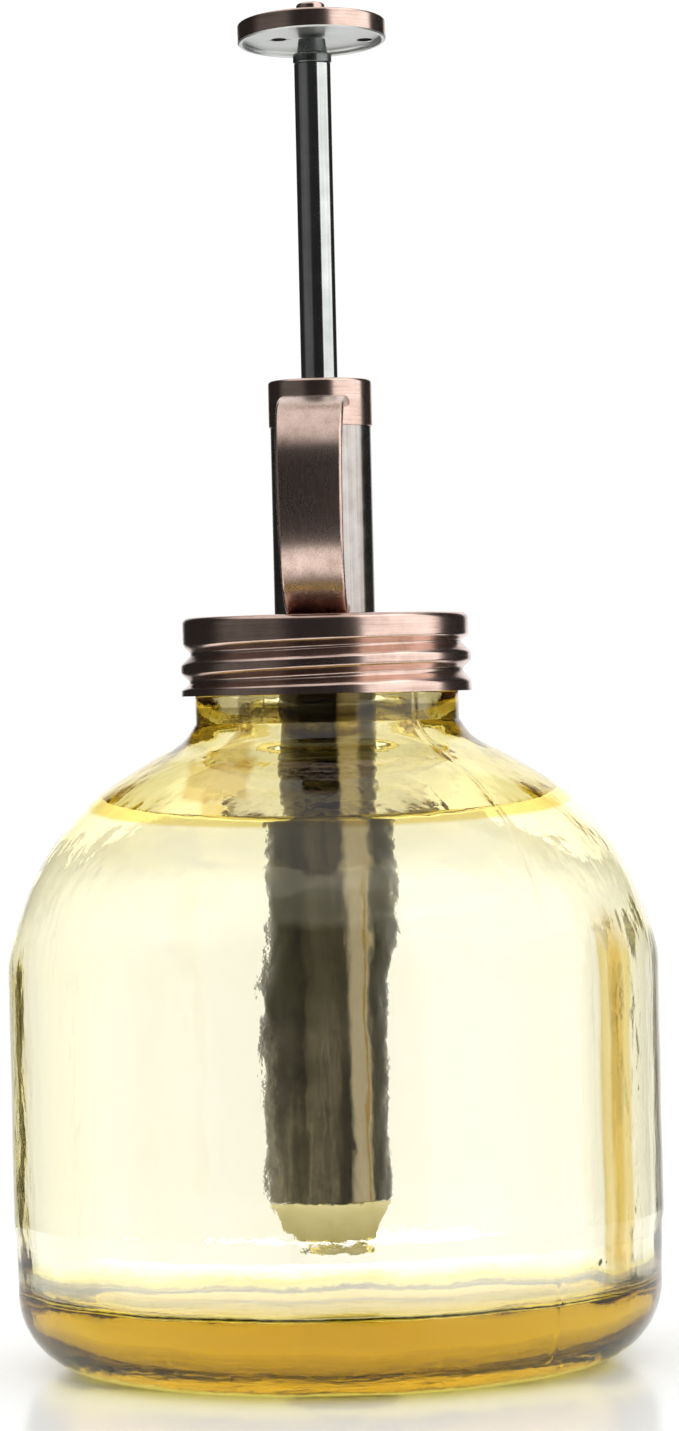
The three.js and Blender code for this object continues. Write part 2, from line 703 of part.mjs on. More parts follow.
function rodFerrule() {
  const edge = 0.3;
  const z0 = ROD_TOP_Z + FIT;
  const z1 = z0 + FERRULE_H - FIT;
  return turned([
    point(0, z0),
    point(FERRULE_R, z0),
    point(FERRULE_R, z1 - edge),
    point(FERRULE_R - edge, z1),
    point(0, z1),
  ]);
}

function knobHub() {
  const z1 = HUB_Z + HUB_H;
  return turned([point(0, HUB_Z), point(HUB_R, HUB_Z), point(HUB_TOP_R, z1), point(0, z1)]);
}

// The button's own frame has its rim's lower edge at height 0.
function thumbButton() {
  const edge = 0.3;
  const body = turned(
    [
      point(0, BUTTON_DISH),
      point(BUTTON_R - BUTTON_RIM, BUTTON_DISH),
      point(BUTTON_R - BUTTON_RIM, 0),
      point(BUTTON_R, 0),
      point(BUTTON_R, BUTTON_H - edge),
      point(BUTTON_R - edge, BUTTON_H),
      point(0, BUTTON_H + BUTTON_CROWN),
    ],
    WIDE_SEGMENTS,
  );
  const holes = BUTTON_HOLES.map(([x, y]) => {
    const hole = disc(BUTTON_HOLE_R, -BUTTON_DISH, BUTTON_DISH + BUTTON_HOLE_DEPTH, SMALL_SEGMENTS);
    hole.translate(x, y, 0);
    return hole;
  });
  return cut(body, ...holes);
}

function knobRivet() {
  const edge = 0.4;
  const z0 = BUTTON_H + BUTTON_CROWN + FIT;
  const z1 = z0 + RIVET_H;
  return turned(
    [
      point(0, z0),
      point(RIVET_R, z0),
      point(RIVET_R, z1 - edge),
      point(RIVET_R - edge, z1),
      point(0, z1),
    ],
    SMALL_SEGMENTS,
  );
}

// ---------- materials ----------
const finish = (color, roughness, metalness, opacity = 1) => () =>
  new THREE.MeshStandardMaterial({
    color, roughness, metalness, opacity, transparent: opacity < 1,
  });

const amberGlass = finish(0xf0e08a, 0.05, 0, 0.35);
const water = finish(0xf4f6ee, 0.05, 0, 0.3);
const copper = finish(0x9c6a58, 0.3, 1);
const gunmetal = finish(0x2b2c2c, 0.2, 1);
const paleMetal = finish(0xc9cbc4, 0.3, 1);
const whitePlastic = finish(0xf1efe2, 0.45, 0);
const blackRubber = finish(0x1e1e1e, 0.8, 0);
const brass = finish(0xb89a55, 0.35, 1);

// ---------- assembly ----------
const mister = new THREE.Group();

function add(parent, name, geometry, material) {
  const mesh = new THREE.Mesh(geometry, material());
  mesh.name = name;
  parent.add(mesh);
}

add(mister, "bottle", bottle(), amberGlass);
add(mister, "water_fill", waterFill(), water);
add(mister, "cap_gasket", capGasket(), blackRubber);

const head = new THREE.Group();
mister.add(head);
add(head, "cap_shell", capShell(), copper);
add(head, "cap_thread_liner", capThreadLiner(), whitePlastic);
add(head, "nut_washer", nutWasher(), blackRubber);
add(head, "barrel_nut", barrelNut(), brass);
add(head, "pump_barrel", pumpBarrel(), copper);
add(head, "top_collar", topCollar(), copper);
add(head, "guide_bush", guideBush(), brass);
add(head, "rod_packing", rodPacking(), blackRubber);
add(head, "finger_handle", fingerHandle(), copper);
add(head, "nozzle_boss", nozzleBoss(), copper);
add(head, "swirl_insert", swirlInsert(), brass);
add(head, "nozzle_cap", nozzleCap(), copper);
add(head, "outer_tube", outerTube(), gunmetal);
add(head, "inner_cylinder", innerCylinder(), paleMetal);
add(head, "cylinder_plug", cylinderPlug(), brass);
add(head, "foot_valve_body", footValveBody(), whitePlastic);
add(head, "inlet_seat", inletSeat(), whitePlastic);
add(head, "inlet_ball", inletBall(), paleMetal);
add(head, "outlet_band", outletBand(), blackRubber);
add(head, "spring_seat", springSeat(), paleMetal);
add(head, "return_spring", returnSpring(), paleMetal);

const plunger = new THREE.Group();
head.add(plunger);
add(plunger, "piston", piston(), brass);
add(plunger, "piston_seal", pistonSeal(), blackRubber);
add(plunger, "plunger_rod", plungerRod(), gunmetal);
add(plunger, "rod_ferrule", rodFerrule(), gunmetal);
add(plunger, "knob_hub", knobHub(), gunmetal);

const knob = new THREE.Group();
knob.position.set(0, 0, BUTTON_Z);
knob.rotation.set(BUTTON_TILT, BUTTON_LEAN, 0);
plunger.add(knob);
add(knob, "thumb_button", thumbButton(), copper);
add(knob, "knob_rivet", knobRivet(), copper);

export default mister;
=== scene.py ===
"""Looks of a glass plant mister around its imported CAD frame. Lengths in the tables are millimetres."""
import json
import math

import bpy
import numpy as np
from mathutils import Matrix, Quaternion, Vector


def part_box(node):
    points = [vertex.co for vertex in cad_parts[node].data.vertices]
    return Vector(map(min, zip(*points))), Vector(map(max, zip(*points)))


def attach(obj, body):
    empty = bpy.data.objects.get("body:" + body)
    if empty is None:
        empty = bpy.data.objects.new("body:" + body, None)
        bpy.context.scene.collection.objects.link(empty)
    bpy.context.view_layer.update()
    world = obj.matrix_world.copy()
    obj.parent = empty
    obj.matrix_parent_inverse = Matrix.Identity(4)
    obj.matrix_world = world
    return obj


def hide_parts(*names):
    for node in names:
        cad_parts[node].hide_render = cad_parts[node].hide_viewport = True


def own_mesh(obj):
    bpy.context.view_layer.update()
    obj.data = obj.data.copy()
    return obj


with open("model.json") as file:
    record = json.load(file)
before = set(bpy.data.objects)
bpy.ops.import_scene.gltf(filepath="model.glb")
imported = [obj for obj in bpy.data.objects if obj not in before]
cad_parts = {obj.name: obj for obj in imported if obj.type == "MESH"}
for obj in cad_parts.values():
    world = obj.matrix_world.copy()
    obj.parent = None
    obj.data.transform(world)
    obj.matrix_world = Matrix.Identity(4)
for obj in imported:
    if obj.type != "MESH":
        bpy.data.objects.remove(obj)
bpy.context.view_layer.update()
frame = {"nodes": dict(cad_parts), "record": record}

MM = 0.001
TAU = 2 * math.pi


# ---------- sizes, read from the frame where a CAD node gives them ----------
def top(node):
    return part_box(node)[1].z / MM


def bottom(node):
    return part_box(node)[0].z / MM


def radius(node):
    low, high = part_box(node)
    return (high.x - low.x) / 2 / MM


FACETS = 15
CAMERA_TURN = math.radians(4.3)  # the camera stands a little to +X of the handle
FACET_PHASE = math.radians(20.3)
BODY_R = 45.75
APOTHEM = BODY_R * math.cos(math.pi / FACETS)
FACET_TOP_Z = 56.0
HEEL_R = 12.0
BASE_LAND_W = 4.0
PUSH_UP = 2.2
SHOULDER_Z = 79.8
SHOULDER_R = 31.3
NECK_R = 18.3
NECK_Z = 89.0
NECK_RING_TOP = 92.5
MOUTH_Z = top("bottle")
BORE_R = 12.7
FINISH_R = 16.1
WALL = 2.3
FLOOR_Z = 10.4
FLOOR_CORNER_R = 4.8
PITCH = 4.233
THREAD_H = 1.1
THREAD_TURNS = 1.2
SEAM_ANGLE = math.radians(44.8)
THICK_ANGLE = math.radians(63.0)
THICK_SPREAD = 0.09
THICK_DEPTH = 1.2
STREAK_W = 2.2
WATER_Z = top("water_fill")
MENISCUS_H = 1.4  # how far the water climbs the glass and the tube

CAP_TOP = top("cap_shell")
CAP_RIM = bottom("cap_shell")
CAP_R = radius("cap_shell")
COLLAR_TOP = top("top_collar")
COLLAR_BOTTOM = bottom("top_collar")
COLLAR_R = radius("top_collar")
BARREL_R = radius("pump_barrel")
BARREL_BORE_R = 5.0
SPIGOT_R = 6.05
PACKING_BORE_R = 5.4
COLLAR_WALL = 0.7
COLLAR_PLATE = 1.5
FIT = 0.06  # gap between faces that seat on each other
RUN = 0.07  # radial running clearance of the rod
TUBE_R = radius("outer_tube")
TUBE_WALL = 0.7
CYLINDER_R = 5.1
CYLINDER_BORE_R = 4.6
TUBE_TOP = top("outer_tube")
TUBE_BOTTOM = bottom("outer_tube")
FOOT_BOTTOM = bottom("foot_valve_body")
FOOT_TIP_R = 4.5
FOOT_LIP_H = 1.4
FOOT_PLUG_H = 3.6
FOOT_SEAT_R = 3.0
FOOT_THROAT_R = 1.0
FOOT_CHAMBER_R = 1.9
FOOT_CHAMBER_TOP = 8.2
ROD_R = radius("plunger_rod")
ROD_TOP = top("plunger_rod")
ROD_BOTTOM = bottom("plunger_rod")
RIVET_R = 2.0
RIVET_H = 2.4
BUTTON_Z = top("knob_hub") - 0.4


# ---------- mesh building ----------
def catmull(points, per_span):
    """A smooth line through points, with the same spline as the CAD outline."""
    points = [np.array(p, float) for p in points]
    line = []
    for i in range(len(points) - 1):
        before = points[max(i - 1, 0)]
        start, end = points[i], points[i + 1]
        after = points[min(i + 2, len(points) - 1)]
        for k in range(per_span):
            t = k / per_span
            out, into = (end - before) / 2, (after - start) / 2
            line.append(
                start + out * t
                + (3 * (end - start) - 2 * out - into) * t**2
                + (2 * (start - end) + out + into) * t**3
            )
    line.append(points[-1])
    return [tuple(p) for p in line]


def arc(r, z, size, start, end, steps):
    """Points of a circular arc about (r, z), from one angle to another in degrees."""
    angles = [math.radians(start + (end - start) * i / steps) for i in range(steps + 1)]
    return [(r + size * math.cos(a), z + size * math.sin(a)) for a in angles]


def even(points, step):
    """The same polyline with extra points, so that no stretch is longer than step."""
    line = [points[0]]
    for a, b in zip(points, points[1:]):
        count = max(1, math.ceil(math.dist(a, b) / step))
        for k in range(1, count + 1):
            line.append((a[0] + (b[0] - a[0]) * k / count, a[1] + (b[1] - a[1]) * k / count))
    return line


def make_object(name, verts, faces, material, sharp_deg=35):
    mesh = bpy.data.meshes.new(name)
    mesh.from_pydata([tuple(v) for v in verts], [], faces)
    mesh.validate()
    mesh.update()
    mesh.shade_smooth()
    mesh.set_sharp_from_angle(angle=math.radians(sharp_deg))
    obj = bpy.data.objects.new(name, mesh)
    bpy.context.scene.collection.objects.link(obj)
    for one in material if isinstance(material, (list, tuple)) else [material]:
        mesh.materials.append(one)
    return obj


def revolve_faces(rows, columns, closed):
    faces = []
    last = rows if closed else rows - 1
    for i in range(last):
        for j in range(columns):
            a, b = i * columns + j, i * columns + (j + 1) % columns
            c = ((i + 1) % rows) * columns + (j + 1) % columns
            d = ((i + 1) % rows) * columns + j
            faces.append((a, b, c, d))
    return faces


def revolve(name, profile, material, columns=96, angles=None, shape=None, sharp_deg=35):
    """Turns (radius, height) points about +Z. A profile that starts and ends on the axis gets
    two poles, any other is closed on itself. shape may move each ring's points."""
    if angles is None:
        angles = np.arange(columns) * TAU / columns
    columns = len(angles)
    capped = profile[0][0] == 0
    rings = profile[1:-1] if capped else profile
    verts = []
    for index, (r, z) in enumerate(rings):
        rr, zz = np.full(columns, float(r)), np.full(columns, float(z))
        if shape is not None:
            rr, zz = shape(rr, zz, angles, index + (1 if capped else 0))
        verts += list(zip(rr * np.sin(angles) * MM, -rr * np.cos(angles) * MM, zz * MM))
    faces = revolve_faces(len(rings), columns, not capped)
    if capped:
        first = len(verts)
        verts.append((0, 0, profile[0][1] * MM))
        verts.append((0, 0, profile[-1][1] * MM))
        last_ring = (len(rings) - 1) * columns
        for j in range(columns):
            k = (j + 1) % columns
            faces.append((first, k, j))
            faces.append((first + 1, last_ring + j, last_ring + k))
    return make_object(name, verts, faces, material, sharp_deg)


def smooth_min(a, b, blend):
    """The lesser of two fields, with a rounded join of width blend."""
    h = np.clip(0.5 + 0.5 * (b - a) / blend, 0, 1)
    return b + (a - b) * h - blend * h * (1 - h)


def waves(angles, z, seed, size):
    """A slow uneven ripple over a turned surface, in about -1 to 1."""
    rng = np.random.default_rng(seed)
    total = np.zeros(len(angles))
    for turns in (2, 3, 5, 7, 9, 13):
        height = rng.uniform(14, 40) * size
        total += np.sin(turns * angles + TAU * (z / height + rng.uniform())) / 6
    return total


# ---------- materials ----------
class Nodes:
    """A short way to write a node tree."""

    def __init__(self, name):
        self.material = bpy.data.materials.new(name)
        self.material.use_nodes = True
        self.tree = self.material.node_tree
        self.shader = next(n for n in self.tree.nodes if n.type == "BSDF_PRINCIPLED")
        self.output = next(n for n in self.tree.nodes if n.type == "OUTPUT_MATERIAL")
        self.coords = self.add("ShaderNodeTexCoord").outputs["Object"]

    def add(self, kind, **settings):
        node = self.tree.nodes.new(kind)
        for key, value in settings.items():
            setattr(node, key, value)
        return node

    def link(self, start, end):
        self.tree.links.new(start, end)

    def put(self, socket, value):
        if isinstance(value, bpy.types.NodeSocket):
            self.link(value, socket)
        else:
            socket.default_value = value

    def stretched(self, scale):
        """Object coordinates scaled along each axis."""
        node = self.add("ShaderNodeMapping")
        self.link(self.coords, node.inputs["Vector"])
        node.inputs["Scale"].default_value = scale
        return node.outputs["Vector"]

    def noise(self, vector, scale, detail=3.0, rough=0.55):
        node = self.add("ShaderNodeTexNoise")
        self.link(vector, node.inputs["Vector"])
        node.inputs["Scale"].default_value = scale
        node.inputs["Detail"].default_value = detail
        node.inputs["Roughness"].default_value = rough
        return node.outputs["Fac"]

    def ramp(self, value, stops):
        node = self.add("ShaderNodeValToRGB")
        self.link(value, node.inputs["Fac"])
        while len(node.color_ramp.elements) < len(stops):
            node.color_ramp.elements.new(0.5)
        for element, (place, colour) in zip(node.color_ramp.elements, stops):
            element.position = place
            element.color = (*colour, 1)
        return node.outputs["Color"]

    def between(self, value, low, high, to_low, to_high):
        node = self.add("ShaderNodeMapRange")
        self.link(value, node.inputs["Value"])
        for key, number in (("From Min", low), ("From Max", high), ("To Min", to_low), ("To Max", to_high)):
            node.inputs[key].default_value = number
        return node.outputs["Result"]

    def mix(self, share, a, b):
        node = self.add("ShaderNodeMix", data_type="RGBA")
        self.put(node.inputs[0], share)
        self.put(node.inputs[6], a)
        self.put(node.inputs[7], b)
        return node.outputs[2]

    def math(self, operation, a, b=0.0):
        node = self.add("ShaderNodeMath", operation=operation)
        self.put(node.inputs[0], a)
        self.put(node.inputs[1], b)
        return node.outputs[0]

    def window(self, value, low, high, soft):
        """1 between low and high, falling to 0 over soft on each side."""
        rise = self.between(value, low - soft, low, 0, 1)
        fall = self.between(value, high, high + soft, 1, 0)
        return self.math("MULTIPLY", rise, fall)

    def bump(self, height, strength, distance):
        node = self.add("ShaderNodeBump")
        self.link(height, node.inputs["Height"])
        node.inputs["Strength"].default_value = strength
        node.inputs["Distance"].default_value = distance
        self.link(node.outputs["Normal"], self.shader.inputs["Normal"])

    def set(self, **values):
        for key, value in values.items():
            self.put(self.shader.inputs[key.replace("_", " ")], value)


# amber of the thick streak: partly the glass's own colour, partly painted shade seen through it
STREAK_AMBER_AND_SHADE = (0.78, 0.58, 0.20, 1)
# painted shade that greys the neck ring
RING_SHADE_GREY = (0.30, 0.27, 0.20, 1)
BASE_TINT = (0.90, 0.86, 0.20, 1)
PATCH_TINT = (0.66, 0.50, 0.22, 1)


def glass_tint_and_shade(n):
    """Tints placed by position to match the photograph, where the modelled optics alone don't give
    them: an upright amber streak, partly thicker glass and partly painted shade seen through it, a neck
    ring greyed by painted shade, a patch on the dome and a darker base."""
    split = n.add("ShaderNodeSeparateXYZ")
    n.link(n.coords, split.inputs[0])
    x, y, z = (n.math("MULTIPLY", axis, 1 / MM) for axis in split.outputs)
    out_x, out_y = math.sin(THICK_ANGLE), -math.cos(THICK_ANGLE)
    across = n.math("ADD", n.math("MULTIPLY", x, -out_y), n.math("MULTIPLY", y, out_x))
    outward = n.math("ADD", n.math("MULTIPLY", x, out_x), n.math("MULTIPLY", y, out_y))
    wobble = n.math("MULTIPLY", n.math("SUBTRACT", n.noise(n.stretched((1, 1, 0.3)), 160, 2.0), 0.5), 3.0)
    # the streak: amber of thicker glass, darkened with painted shade as if refracted through the facet
    streak = n.window(n.math("ADD", across, wobble), -STREAK_W, STREAK_W, 0.9)
    streak = n.math("MULTIPLY", streak, n.window(z, 16, 57, 7))
    streak = n.math("MULTIPLY", streak, n.math("GREATER_THAN", outward, 0.0))
    # painted shade: the neck ring just under the cap is greyed
    ring = n.window(z, NECK_Z + 0.1, NECK_Z + 2.1, 0.2)
    patch = n.math("MULTIPLY", n.window(n.math("ADD", x, wobble), -17, -9, 1.0),
                   n.window(n.math("ADD", z, wobble), 79.5, 83.5, 0.8))
    patch = n.math("MULTIPLY", patch, n.math("LESS_THAN", y, 0.0))
    low = n.between(n.math("ADD", z, n.math("MULTIPLY", wobble, 0.8)), 6.0, 11.0, 1, 0)
    colour = n.mix(low, (1, 1, 1, 1), BASE_TINT)
    colour = n.mix(ring, colour, RING_SHADE_GREY)
    colour = n.mix(patch, colour, PATCH_TINT)
    return n.mix(streak, colour, STREAK_AMBER_AND_SHADE)


def amber_glass():
    n = Nodes("amber_glass")
    n.set(Base_Color=glass_tint_and_shade(n), Roughness=0.0, IOR=1.5, Transmission_Weight=1.0)
    orange_peel = n.noise(n.stretched((1, 1, 0.45)), 200, 2.0)
    grit = n.noise(n.stretched((1, 1, 1)), 1300, 2.0)
    height = n.math("ADD", orange_peel, n.math("MULTIPLY", grit, 0.07))
    n.bump(height, 0.16, 0.0006)
    absorb = n.add("ShaderNodeVolumeAbsorption")
    absorb.inputs["Color"].default_value = (0.920, 0.836, 0.26, 1)
    absorb.inputs["Density"].default_value = 78
    n.link(absorb.outputs["Volume"], n.output.inputs["Volume"])
    return n.material


# painted reflection of the amber glass in the meniscus
MENISCUS_REFLECTION_TINT = (0.70, 0.54, 0.12, 1)


def clear_water():
    """Clear, with a painted reflection of the amber glass where it climbs the glass."""
    n = Nodes("water")
    split = n.add("ShaderNodeSeparateXYZ")
    n.link(n.coords, split.inputs[0])
    z = n.math("MULTIPLY", split.outputs[2], 1 / MM)
    # painted reflection: amber colour where the water climbs the glass
    rim = n.between(z, WATER_Z - MENISCUS_H + 0.04, WATER_Z - 1.0, 0, 1)
    colour = n.mix(rim, (1, 1, 1, 1), MENISCUS_REFLECTION_TINT)
    n.set(Base_Color=colour, Roughness=0.0, IOR=1.333, Transmission_Weight=1.0)
    n.bump(n.noise(n.stretched((1, 1, 1)), 90, 1.0), 0.08, 0.0004)
    return n.material


BRUSHED = {"round": (0.02, 0.02, 1.0), "along_z": (1.0, 1.0, 0.012), "along_y": (1.0, 0.012, 1.0)}


def antique_copper(name, brushed="round", bright=1.0, rough=0.14):
    """Copper plate, brushed, with darker oxide left in blotches and in the brush marks."""
    n = Nodes(name)
    lines = n.noise(n.stretched(BRUSHED[brushed]), 5200, 2.0, 0.6)
    broad = n.noise(n.stretched(BRUSHED[brushed]), 900, 2.0, 0.5)
    patches = n.noise(n.stretched((1, 1, 1)), 210, 4.0, 0.6)
    tone = n.math("ADD", n.math("MULTIPLY", patches, 0.45), n.math("MULTIPLY", lines, 0.3))
    tone = n.math("ADD", tone, n.math("MULTIPLY", broad, 0.25))
    wear_and_highlight = (0.86 * bright, 0.65 * bright, 0.56 * bright)
    oxide = (0.42 * bright, 0.27 * bright, 0.22 * bright)
    between = tuple((a + 2 * b) / 3 for a, b in zip(oxide, wear_and_highlight))
    colour = n.ramp(tone, ((0.3, oxide), (0.48, between), (0.62, wear_and_highlight)))
    n.set(Base_Color=colour, Metallic=1.0, Roughness=n.between(tone, 0.3, 0.7, rough + 0.12, rough))
    n.bump(lines, 0.2, 0.00002)
    return n.material


def polished_metal(name, dark, light, rough_low, rough_high, brushed="along_z", whole=False):
    n = Nodes(name)
    lines = n.noise(n.stretched(BRUSHED[brushed]), 3000, 2.0, 0.6)
    haze = n.noise(n.stretched((1, 1, 1)), 300, 3.0)
    tone = n.math("ADD", n.math("MULTIPLY", lines, 0.5), n.math("MULTIPLY", haze, 0.5))
    n.set(
        Base_Color=n.ramp(tone, ((0.35, dark), (0.65, light))),
        Metallic=1.0,
        Roughness=n.between(tone, 0.3, 0.7, rough_low, rough_high),
    )
    n.bump(lines, 0.12, 0.00002)
    return n if whole else n.material


def streaked_tube():
    """Dark polished metal with upright stains, some nearly black and some olive, a darker band part way up
    and a painted highlight in a band on its +X side.
    """
    n = polished_metal("tube_metal", (0.085, 0.075, 0.052), (0.22, 0.19, 0.135), 0.08, 0.16, whole=True)
    clean = n.shader.inputs["Base Color"].links[0].from_socket
    stain = n.noise(n.stretched((1, 1, 0.06)), 260, 2.0, 0.5)
    share = n.between(stain, 0.42, 0.56, 0, 0.8)
    stained = n.mix(share, clean, (0.028, 0.026, 0.02, 1))
    split = n.add("ShaderNodeSeparateXYZ")
    n.link(n.coords, split.inputs[0])
    x, z = (n.math("MULTIPLY", split.outputs[i], 1 / MM) for i in (0, 2))
    # darker between 52 and 66 mm up
    mid_darker_band = n.math("MULTIPLY", n.window(z, 52, 66, 6), 0.5)
    stained = n.mix(mid_darker_band, stained, (0.035, 0.033, 0.018, 1))
    # painted highlight: a paler band on the tube's +X side, where it mirrors the lit side
    wear_and_highlight = n.math("MULTIPLY", n.window(x, 2.1, 4.3, 0.6), 0.75)
    n.set(Base_Color=n.mix(wear_and_highlight, stained, (0.42, 0.36, 0.26, 1)))
    return n.material


def moulded_plastic(name, dark, light, rough):
    n = Nodes(name)
    cloud = n.noise(n.stretched((1, 1, 1)), 260, 3.0)
    grain = n.noise(n.stretched((1, 1, 1)), 2600, 2.0)
    n.set(
        Base_Color=n.ramp(cloud, ((0.35, dark), (0.65, light))),
        Roughness=n.between(grain, 0.3, 0.7, rough, rough + 0.15),
    )
    n.bump(grain, 0.2, 0.00005)
    return n


GLASS = amber_glass()
WATER = clear_water()
COPPER = antique_copper("antique_copper_turned", "round")
COPPER_STRIP = antique_copper("antique_copper_strip", "along_z", rough=0.22)
GUNMETAL = polished_metal("gunmetal", (0.50, 0.52, 0.50), (0.72, 0.74, 0.72), 0.06, 0.14)
DULL_GUNMETAL = polished_metal("dull_gunmetal", (0.16, 0.17, 0.17), (0.27, 0.29, 0.28), 0.22, 0.36)
# painted shade: near-black walls for the holes in the button
HOLE_SHADE = polished_metal("painted_shade_bore", (0.03, 0.03, 0.03), (0.07, 0.06, 0.06), 0.5, 0.6)
TUBE_METAL = streaked_tube()
NICKEL = polished_metal("pale_nickel", (0.78, 0.80, 0.78), (0.92, 0.93, 0.91), 0.34, 0.48, "round")
STEEL = polished_metal("steel", (0.5, 0.5, 0.49), (0.7, 0.7, 0.69), 0.18, 0.3, "round")
BRASS = polished_metal("turned_brass", (0.55, 0.42, 0.18), (0.8, 0.64, 0.32), 0.2, 0.34, "round")
WHITE = moulded_plastic("white_plastic", (0.92, 0.83, 0.48), (0.99, 0.92, 0.60), 0.4).material
BARREL = polished_metal("barrel_copper", (0.38, 0.33, 0.30), (0.58, 0.54, 0.51), 0.12, 0.24)
RUBBER = moulded_plastic("black_rubber", (0.018, 0.018, 0.018), (0.04, 0.04, 0.04), 0.7).material


# ---------- bottle and water ----------
def facet_angles(per_facet):
    """Angles round the bottle, closer together near each facet's corner."""
    angles = []
    for k in range(FACETS):
        for i in range(per_facet):
            t = i / per_facet
            eased = 0.5 * t + 0.5 * (t - math.sin(TAU * t) / TAU)
            angles.append(FACET_PHASE + (k + eased) * TAU / FACETS)
    return np.array(angles)


def corner_offset(angles):
    """Angle from the middle of the nearest facet."""
    step = TAU / FACETS
    return (angles - FACET_PHASE) % step - step / 2


def outer_profile():
    outer_r = BODY_R + 0.25
    land_r = outer_r - HEEL_R - 0.3
    ring_top = NECK_RING_TOP + 0.7  # just inside the cap, where its edge doesn't show
    dome = catmull([
        (outer_r, FACET_TOP_Z - 1),
        (BODY_R - 1.05, FACET_TOP_Z + 2.4),
        (BODY_R - 2.45, FACET_TOP_Z + 6.5),
        (BODY_R - 4.65, FACET_TOP_Z + 12),
        (SHOULDER_R + 6, SHOULDER_Z - 5.8),
        (SHOULDER_R, SHOULDER_Z),
        (SHOULDER_R - 6.2, SHOULDER_Z + 3.9),
        (NECK_R + 2.1, NECK_Z - 2.7),
        (NECK_R, NECK_Z),
    ], 12)
    base = [
        (0, PUSH_UP),
        (land_r - BASE_LAND_W - 3, PUSH_UP * 0.8),
        (land_r - BASE_LAND_W, 0.12),
        (land_r - BASE_LAND_W + 0.5, 0),
    ]
    neck = [
        (NECK_R, ring_top - 0.6),
        (NECK_R - 0.2, ring_top - 0.2),
        (NECK_R - 0.6, ring_top),
        (FINISH_R + 0.3, ring_top + 0.3),
        (FINISH_R, ring_top + 0.6),
        (FINISH_R, MOUTH_Z - 0.5),
        (FINISH_R - 0.15, MOUTH_Z - 0.15),
        (FINISH_R - 0.5, MOUTH_Z),
    ]
    heel = arc(land_r, HEEL_R, HEEL_R, -90, 0, 24)
    return even(base, 3) + even(heel + dome, 1.2) + even(neck, 0.35)


def facet_shape(r, z, angles):
    """Flattens the body's sides. The flats fade into the round heel and are cut off by the dome."""
    if z[0] > FACET_TOP_Z + 8:
        return r
    offset = np.abs(corner_offset(angles))
    flat = smooth_min(APOTHEM / np.cos(offset), APOTHEM / np.cos(TAU / FACETS - offset), 2.4)
    if z[0] > HEEL_R + 8:
        return smooth_min(r, flat, 0.9)
    share = np.clip((z - 2) / (HEEL_R + 6), 0, 1)
    share = share * share * (3 - 2 * share)
    heel = r - (BODY_R + 0.25 - APOTHEM) * np.clip(z / HEEL_R, 0, 1)
    return heel + (flat - APOTHEM) * share


def cavity_wall():
    r = APOTHEM - WALL
    corner = arc(r - FLOOR_CORNER_R, FLOOR_Z + FLOOR_CORNER_R, FLOOR_CORNER_R, -90, 0, 14)
    dome = catmull([
        (r, FACET_TOP_Z - 6),
        (r - 0.6, FACET_TOP_Z + 2),
        (r - 3, FACET_TOP_Z + 8.5),
        (r - 7.4, FACET_TOP_Z + 13.8),
        (SHOULDER_R - 3.7, SHOULDER_Z - 5.2),
        (SHOULDER_R - 10.2, SHOULDER_Z - 1.2),
        (BORE_R + 2.8, NECK_Z - 7),
        (BORE_R + 0.5, NECK_Z - 3.5),
        (BORE_R, NECK_Z),
    ], 8)
    return even(corner + dome, 1.5)


def cavity_radius(r, z, angles):
    """The cavity's radius with the uneven wall of pressed glass and one thick upright streak."""
    fade = np.clip((z - FLOOR_Z) / 6, 0, 1) * np.clip((NECK_Z - 3 - z) / 8, 0, 1)
    streak = np.clip((z - 13) / 4, 0, 1) * np.clip((61 - z) / 4, 0, 1)
    r = r - THICK_DEPTH * streak * np.exp(-(((angles - THICK_ANGLE) / THICK_SPREAD) ** 2))
    return r + 0.1 * fade * waves(angles, float(z[0]), 7, 1.0)


def neck_thread(r, z, angles):
    """Adds the screw ridge to the neck's wall."""
    lift = np.zeros(len(angles))
    z0 = NECK_RING_TOP + 2.8
    for turn in (-1, 0, 1):
        along = np.mod(angles - math.pi / 2, TAU) + turn * TAU
        share = along / (TAU * THREAD_TURNS)
        inside = (share > 0) & (share < 1)
        fade = np.clip(np.minimum(share, 1 - share) / 0.1, 0, 1)
        away = np.abs(z - (z0 + PITCH * along / TAU))
        tooth = np.clip((1.0 - away) / 0.55, 0, 1) * THREAD_H
        lift = np.maximum(lift, np.where(inside, tooth * fade, 0))
    return r + lift


def bottle():
    outer = outer_profile()
    inner = even([(BORE_R + 0.5, MOUTH_Z), (BORE_R + 0.15, MOUTH_Z - 0.15), (BORE_R, MOUTH_Z - 0.5),
                  (BORE_R, NECK_Z)], 1.5)[:-1] + cavity_wall()[::-1]
    profile = outer + inner + [(0, FLOOR_Z)]
    split = len(outer)

    def shape(r, z, angles, index):
        if index >= split:
            if z[0] < NECK_Z - 1:
                r = cavity_radius(r, z, angles)
            return r, z
        r = facet_shape(r, z, angles)
        seam = np.minimum(
            np.abs((angles - SEAM_ANGLE + math.pi) % TAU - math.pi),
            np.abs((angles - SEAM_ANGLE) % TAU - math.pi),
        )
        if 4 < z[0] < NECK_RING_TOP:
            r = r + 0.16 * np.exp(-((seam * r / 0.35) ** 2))
            r = r + 0.03 * waves(angles, float(z[0]), 3, 0.7)
        if z[0] > NECK_RING_TOP + 0.8 and z[0] < MOUTH_Z - 0.3:
            r = neck_thread(r, z, angles)
        return r, z

    piece = revolve("bottle_glass", profile, GLASS, angles=facet_angles(26), shape=shape, sharp_deg=60)
    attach(piece, "bottle")
    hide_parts("bottle")


